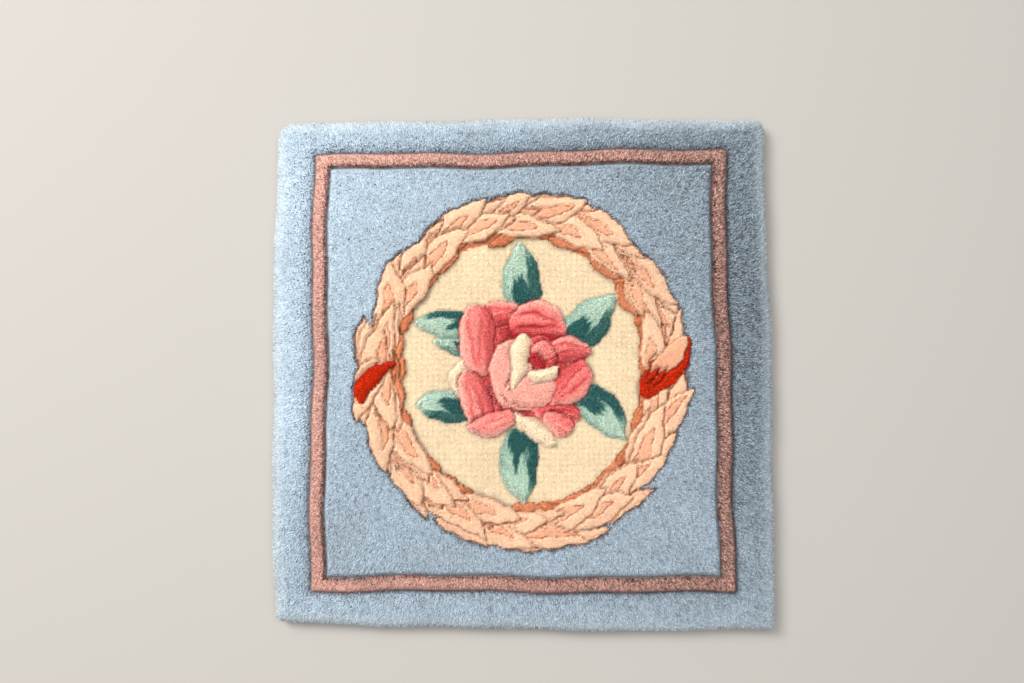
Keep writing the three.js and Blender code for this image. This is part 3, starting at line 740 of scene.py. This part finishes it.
class RUG_OT_body(bpy.types.Operator):
    """Models the rug's body: the carved mass of the pile on its flat cotton foundation"""

    bl_idname = "rug.body"
    bl_label = "Pile body"

    def execute(self, context):
        sizes = context.scene.rug_sizes
        chart = CHARTS["rug"]
        bpy.ops.object.select_all(action="DESELECT")
        bpy.ops.mesh.primitive_grid_add(x_subdivisions=BODY_GRID, y_subdivisions=BODY_GRID, size=2)
        body = new_primitive("rug_body")
        mesh = body.data
        unit = np.empty(3 * len(mesh.vertices))
        mesh.vertices.foreach_get("co", unit)
        u, v = unit.reshape(-1, 3)[:, 0], unit.reshape(-1, 3)[:, 1]
        angle = np.arctan2(v, u)
        reach = np.maximum(np.abs(u), np.abs(v)) * outline_reach(RUG, BODY_INSET, angle)
        x, y = reach * np.cos(angle), reach * np.sin(angle)
        free = FREE_SHARE * sizes.tuft_length / MM
        z = read_chart(soften(chart.height, BODY_SOFTNESS), x, y) - free
        mesh.vertices.foreach_set("co", np.stack([x, y, z], 1).ravel() * MM)
        self.close_underside(body, sizes)
        self.dye_and_shade(body, chart, context.scene.rug_yarns)
        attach(body, "root")
        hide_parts("rug")
        return {"FINISHED"}

    def close_underside(self, body, sizes):
        """Extrudes the rim down to the floor, draws it in to the foot and fills it."""
        mesh = body.data
        top = len(mesh.vertices)
        bpy.ops.object.mode_set(mode="EDIT")
        bpy.ops.mesh.select_mode(type="EDGE")
        bpy.ops.mesh.select_all(action="DESELECT")
        bpy.ops.mesh.select_non_manifold()
        bpy.ops.mesh.extrude_edges_move()
        bpy.ops.mesh.edge_face_add()
        bpy.ops.object.mode_set(mode="OBJECT")
        points = np.empty(3 * len(mesh.vertices))
        mesh.vertices.foreach_get("co", points)
        points = points.reshape(-1, 3)
        foot = points[top:]
        angle = np.arctan2(foot[:, 1], foot[:, 0])
        reach = outline_reach(RUG, BODY_INSET + sizes.foot_inset / MM / 2, angle) * MM
        points[top:] = np.stack([reach * np.cos(angle), reach * np.sin(angle), 0 * angle], 1)
        mesh.vertices.foreach_set("co", points.ravel())
        mesh.update()
        bpy.ops.object.mode_set(mode="EDIT")
        bpy.ops.mesh.select_all(action="SELECT")
        bpy.ops.mesh.normals_make_consistent(inside=False)
        bpy.ops.object.mode_set(mode="OBJECT")

    def dye_and_shade(self, body, chart, colours):
        """Colours the yarn between the tufts, painted dark as shade, and puts cotton underneath."""
        mesh = body.data
        mesh.materials.append(cut_wool(PILE_ROOTS))
        mesh.materials.append(cotton_back())
        centres = np.empty(3 * len(mesh.polygons))
        mesh.polygons.foreach_get("center", centres)
        under = centres.reshape(-1, 3)[:, 2] < UNDERSIDE * MM
        mesh.polygons.foreach_set("material_index", under.astype(np.int32))
        bpy.ops.object.shade_smooth()
        points = np.empty(3 * len(mesh.vertices))
        mesh.vertices.foreach_get("co", points)
        x, y = points[0::3] / MM, points[1::3] / MM
        zone = read_chart(chart.zone, x, y)
        store_layer(mesh, "dye_and_shade", yarn_dye_and_shade(zone, read_chart(chart.tone, x, y), colours))
        # Painted shade: as dark as the yarn's roots, with painted nap light and painted shade in the cuts
        store_layer(mesh, "shade", ROOT_SHADE * carved_shade(chart, x, y))


Tufts = namedtuple("Tufts", "root tip width tint speckle")
ROW_PITCH = 0.866
PLACE_JITTER = 0.22


def tuft_places(pitch, rng):
    """A close, slightly scattered packing of yarn ends over the rug, in millimetres."""
    rows = int(2 * CHART_REACH / (ROW_PITCH * pitch))
    columns = int(2 * CHART_REACH / pitch)
    i, j = np.meshgrid(np.arange(columns), np.arange(rows), indexing="ij")
    x = (i + 0.5 * (j % 2)) * pitch - CHART_REACH
    y = j * ROW_PITCH * pitch - CHART_REACH
    x = (x + rng.normal(0, PLACE_JITTER * pitch, x.shape)).ravel()
    y = (y + rng.normal(0, PLACE_JITTER * pitch, y.shape)).ravel()
    return x, y


# Yarn ends of the pile face: how far splayed ones stray over a zone's line, how near the rug's edge they
# stand, how they lean off a slope, and the scatter of lean, splay, length, height, width and tint
SPLAY_REACH = 150.0
STRAY = 0.7
EDGE_ROOM = 0.3
FLATTEST = 0.01
LEAN_RATE = 0.6
LEAN_SHARE = 0.7
LEAN_SCATTER = 0.16
SPLAY_SCATTER = 0.3
LENGTH_SCATTER = 0.07
HEIGHT_SCATTER = 0.24
TUFT_WIDTH = 1.5
WIDTH_SCATTER = 0.1
TINT_SCATTER = 0.28


def face_tufts(chart, zone, sizes, rng):
    """Yarn ends of one zone that stand on the pile face, leaning out over cuts and edges."""
    kind = ZONES[zone]
    pitch = kind.pitch * sizes.tuft_pitch / MM
    x, y = tuft_places(pitch, rng)
    stray = STRAY * kind.splay
    edge_x, edge_y = x + rng.normal(0, stray, len(x)), y + rng.normal(0, stray, len(x))
    mine = (read_chart(chart.inset, x, y) > EDGE_ROOM) & (read_chart(chart.zone, edge_x, edge_y) == zone)
    x, y = x[mine], y[mine]
    slope_x, slope_y = np.gradient(chart.height, CHART_STEP)
    lean = np.stack([-read_chart(slope_x, x, y), -read_chart(slope_y, x, y)], 1)
    steep = np.linalg.norm(lean, axis=1, keepdims=True)
    lean = lean / np.maximum(steep, FLATTEST) * np.tanh(LEAN_RATE * steep)
    lean_scatter = LEAN_SCATTER * kind.pitch + SPLAY_SCATTER * kind.splay
    lean = LEAN_SHARE * lean + rng.normal(0, lean_scatter, lean.shape)
    lean += kind.splay * np.column_stack([x, y]) / SPLAY_REACH
    axis = np.column_stack([lean, np.ones(len(x))])
    axis /= np.linalg.norm(axis, axis=1, keepdims=True)
    length = sizes.tuft_length / MM * (1 + rng.normal(0, LENGTH_SCATTER, len(x)))
    height = read_chart(chart.height, x, y) + rng.normal(0, HEIGHT_SCATTER * kind.pitch ** 2, len(x))
    tip = np.column_stack([x, y, height])
    root = tip - axis * length[:, None]
    width = TUFT_WIDTH * pitch * (1 + rng.normal(0, WIDTH_SCATTER, len(x)))
    tint = rng.normal(0, TINT_SCATTER * kind.speckle, len(x))
    contrast = kind.speckle / nap_shade(x, y, np.full(len(x), zone)) ** NAP_CONTRAST
    return Tufts(root, tip, width, tint, contrast * rng.uniform(-1, 1, len(x)))


# Yarn ends of the sides: how densely they stand on the rug's length round, from what height to how far up the
# shoulder, how the sides draw in to foot and shoulder, and the ends' rise, scatter, width and shade
SIDE_COVER = 1.1
LENGTH_ROUND = 4 * 310
SIDE_FOOT = 0.6
SIDE_ROOT = 0.5
SHOULDER_TUFTS = 2.6
SHOULDER_ROOM = 0.3
FOOT_SHARE = 0.8
SHOULDER_CURVE = 0.05
SIDE_INSET = 0.2
OUTWARD_STEP = 0.5
SIDE_RISE = 0.35
SIDE_LEAN = 0.2
SIDE_TIPS = Spread(-0.2, 0.35)
SIDE_WIDTH = 1.6
SIDE_SPECKLE = 1.6
SIDE_TINT = Spread(0.35, 0.2)
# Painted shade: how much darker the side yarn ends are toward the floor
SIDE_FLOOR_SHADE = 0.25


def side_tufts(sizes, rng):
    """Yarn ends that stand out of the rug's sides and up onto the rolled shoulder."""
    rim = (sizes.field_height - sizes.shoulder_drop) / MM
    pitch = sizes.tuft_pitch / MM
    top = rim + SHOULDER_TUFTS
    count = int(SIDE_COVER * LENGTH_ROUND * top / pitch ** 2)
    angle = rng.random(count) * 2 * np.pi
    z = SIDE_FOOT + (top - SHOULDER_ROOM) * rng.random(count)
    drawn_in = sizes.foot_inset / MM * (1 - z / rim) * FOOT_SHARE
    inset = np.where(z < rim, drawn_in, SHOULDER_CURVE * (z - rim) ** 2) + SIDE_INSET
    reach = outline_reach(RUG, inset, angle)
    x, y = reach * np.cos(angle), reach * np.sin(angle)
    out_x = inset_from(RUG, x - OUTWARD_STEP, y) - inset_from(RUG, x + OUTWARD_STEP, y)
    out_y = inset_from(RUG, x, y - OUTWARD_STEP) - inset_from(RUG, x, y + OUTWARD_STEP)
    axis = np.column_stack([out_x, out_y, SIDE_RISE * (z / rim) + rng.normal(0, SIDE_LEAN, count)])
    axis += rng.normal(0, SIDE_LEAN, axis.shape)
    axis /= np.linalg.norm(axis, axis=1, keepdims=True)
    tip = np.column_stack([x, y, z]) + axis * rng.normal(*SIDE_TIPS, count)[:, None]
    root = tip - axis * sizes.tuft_length / MM
    root[:, 2] = np.maximum(root[:, 2], SIDE_ROOT)
    width = np.full(count, SIDE_WIDTH * pitch)
    # Painted shade: side yarn ends darker toward the floor
    speckle = SIDE_SPECKLE * ZONES[MARGIN].speckle * rng.uniform(-1, 1, count) - SIDE_FLOOR_SHADE * (1 - z / top)
    return Tufts(root, tip, width, rng.normal(*SIDE_TINT, count), speckle)


# Corners of a yarn end's four faces: three at its root, and the tip
TUFT_FACES = (0, 1, 3, 1, 2, 3, 2, 0, 3, 0, 2, 1)
OFF_AXIS = (0.3, 0.5, 0.1)
LOWEST_YARN = 0.2


def join_tufts(name, tufts, zone, chart, colours, rng):
    """Closed three-sided yarn ends in one mesh, wide at root, narrow at tip, coloured and shaded by the
    chart.
    """
    count = len(tufts.root)
    axis = tufts.tip - tufts.root
    axis /= np.linalg.norm(axis, axis=1, keepdims=True)
    side = np.cross(axis, np.array(OFF_AXIS))
    side /= np.linalg.norm(side, axis=1, keepdims=True)
    over = np.cross(axis, side)
    start = rng.random(count) * 2 * np.pi
    points = np.empty((count, 4, 3))
    for k in range(3):
        turn = start + k * 2 * np.pi / 3
        spread = side * np.cos(turn)[:, None] + over * np.sin(turn)[:, None]
        points[:, k] = tufts.root + spread * tufts.width[:, None] / 2
    points[:, 3] = tufts.tip
    points[:, :, 2] = np.maximum(points[:, :, 2], LOWEST_YARN)
    loops = (4 * np.arange(count)[:, None] + np.array(TUFT_FACES)).ravel()
    mesh = bpy.data.meshes.new(name)
    mesh.vertices.add(4 * count)
    mesh.vertices.foreach_set("co", points.ravel() * MM)
    mesh.loops.add(len(loops))
    mesh.loops.foreach_set("vertex_index", loops.astype(np.int32))
    mesh.polygons.add(4 * count)
    mesh.polygons.foreach_set("loop_start", np.arange(0, len(loops), 3, dtype=np.int32))
    mesh.update(calc_edges=True)
    mesh.polygons.foreach_set("use_smooth", np.ones(4 * count, dtype=bool))
    x, y = points[:, :, 0].ravel(), points[:, :, 1].ravel()
    own = read_chart(chart.zone, x, y) == zone
    tip_tone = np.repeat(read_chart(chart.tone, points[:, 3, 0], points[:, 3, 1]), 4)
    tone = np.where(own, read_chart(chart.tone, x, y), tip_tone) + np.repeat(tufts.tint, 4)
    dye_and_shade = yarn_dye_and_shade(np.full(len(x), zone), tone, colours)
    store_layer(mesh, "dye_and_shade", dye_and_shade)
    speckle = np.repeat(tufts.speckle, 4) * (DARK_SPECKLE - dye_and_shade[:, :3].mean(axis=1))
    # Painted shade at each yarn end's root and painted highlight at its tip, with its speckle and painted
    # shade
    ends = np.tile([ROOT_SHADE, ROOT_SHADE, ROOT_SHADE, TIP_SHADE], count)
    store_layer(mesh, "shade", ends * (1 + np.clip(speckle, *SPECKLE_RANGE)) * carved_shade(chart, x, y))
    piece = bpy.data.objects.new(name, mesh)
    bpy.context.scene.collection.objects.link(piece)
    return piece


class RUG_OT_pile(bpy.types.Operator):
    """Stands the cut yarn ends on the pile body, one piece for each yarn zone"""

    bl_idname = "rug.pile"
    bl_label = "Cut pile"

    def execute(self, context):
        sizes = context.scene.rug_sizes
        colours = context.scene.rug_yarns
        rng = np.random.default_rng(sizes.seed)
        long_pile, carved_pile, low_pile = (cut_wool(kind) for kind in (LONG_PILE, CARVED_PILE, LOW_PILE))
        chart = CHARTS["rug"]
        for zone, kind in enumerate(ZONES):
            tufts = face_tufts(chart, zone, sizes, rng)
            piece = join_tufts(f"{kind.name}_pile", tufts, zone, chart, colours, rng)
            wool = long_pile if zone <= STRIPE else low_pile if zone == GROUND else carved_pile
            self.lay(piece, wool, kind.slot)
        sides = join_tufts("side_pile", side_tufts(sizes, rng), MARGIN, chart, colours, rng)
        self.lay(sides, long_pile, ZONES[MARGIN].slot)
        return {"FINISHED"}

    def lay(self, piece, wool, slot):
        """Gives a piece of pile its wool and lets it lie with the rug."""
        piece.data.materials.append(wool)
        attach(piece, "root")
        return piece


# Camera above the rug, tilted a little toward its far edge, as the photograph was taken
LENS_MM = 35.0
SENSOR_MM = 36.0
CAMERA_DISTANCE = 607 * MM
CAMERA_ELEVATION = math.radians(86)
AIM = (-6.06 * MM, 17.4 * MM, 14 * MM)
CLIP_START = 0.01

# Soft square lights that face the rug's middle, in metres and watts, and the light of the room
Lamp = namedtuple("Lamp", "name place size power colour")
LAMPS = (
    Lamp("window", (-1.0, 0.75, 1.5), 0.8, 37, (1, 0.98, 0.95)),
    Lamp("ceiling", (0.1, 0.0, 1.8), 1.6, 22, (1, 1, 1)),
)
ROOM_LIGHT = 0.34
FLOOR_SIZE = 6


def area_light(lamp):
    """Hangs one lamp and turns it to the rug's middle."""
    bpy.ops.object.select_all(action="DESELECT")
    bpy.ops.object.light_add(type="AREA", location=lamp.place)
    light = bpy.context.active_object
    light.name = lamp.name
    light.data.size = lamp.size
    light.data.energy = lamp.power
    light.data.color = lamp.colour
    x, y, z = lamp.place
    light.rotation_euler = (math.atan2(math.hypot(x, y), z), 0, math.atan2(x, -y))


class RUG_OT_stage(bpy.types.Operator):
    """Lays the pale floor and sets the lights and the camera"""

    bl_idname = "rug.stage"
    bl_label = "Stage"

    def execute(self, context):
        bpy.ops.object.select_all(action="DESELECT")
        bpy.ops.mesh.primitive_plane_add(size=FLOOR_SIZE)
        floor = new_primitive("floor")
        material, _, shader = new_material("pale matte floor")
        shader.inputs["Base Color"].default_value = (*linear("#B0ACA6"), 1)
        shader.inputs["Roughness"].default_value = 0.8
        floor.data.materials.append(material)
        for lamp in LAMPS:
            area_light(lamp)
        world = bpy.data.worlds.new("soft room")
        world.use_nodes = True
        sky = world.node_tree.nodes["Background"]
        sky.inputs["Color"].default_value = (*linear("#F4F4F6"), 1)
        sky.inputs["Strength"].default_value = ROOM_LIGHT
        context.scene.world = world
        context.scene.view_settings.view_transform = "Standard"
        self.add_camera(context)
        return {"FINISHED"}

    def add_camera(self, context):
        """A camera at the photograph's angle, with the rug's aim point in the middle of the frame."""
        back = CAMERA_DISTANCE * math.cos(CAMERA_ELEVATION)
        up = CAMERA_DISTANCE * math.sin(CAMERA_ELEVATION)
        bpy.ops.object.camera_add(location=(AIM[0], AIM[1] - back, AIM[2] + up),
                                  rotation=(math.pi / 2 - CAMERA_ELEVATION, 0, 0))
        camera = context.active_object
        camera.data.lens = LENS_MM
        camera.data.sensor_width = SENSOR_MM
        camera.data.clip_start = CLIP_START
        context.scene.camera = camera


class RUG_PT_panel(bpy.types.Panel):
    """Lists the rug's steps, sizes and yarns in the sidebar"""

    bl_label = "Rug"
    bl_idname = "RUG_PT_panel"
    bl_space_type = "VIEW_3D"
    bl_region_type = "UI"
    bl_category = "Rug"

    def draw(self, context):
        for operator in OPERATORS:
            self.layout.operator(operator.bl_idname)
        for group in (context.scene.rug_sizes, context.scene.rug_yarns):
            for name in group.__annotations__:
                self.layout.prop(group, name)


OPERATORS = (RUG_OT_body, RUG_OT_pile, RUG_OT_stage)
CLASSES = (RugSizes, YarnColours, *OPERATORS, RUG_PT_panel)
CHARTS = {}


def register():
    for cls in CLASSES:
        bpy.utils.register_class(cls)
    bpy.types.Scene.rug_sizes = PointerProperty(type=RugSizes)
    bpy.types.Scene.rug_yarns = PointerProperty(type=YarnColours)


def unregister():
    del bpy.types.Scene.rug_yarns
    del bpy.types.Scene.rug_sizes
    for cls in reversed(CLASSES):
        bpy.utils.unregister_class(cls)


def main():
    register()
    CHARTS["rug"] = carve_chart(bpy.context.scene.rug_sizes)
    bpy.ops.rug.body()
    bpy.ops.rug.pile()
    bpy.ops.rug.stage()


if __name__ == "__main__":
    main()
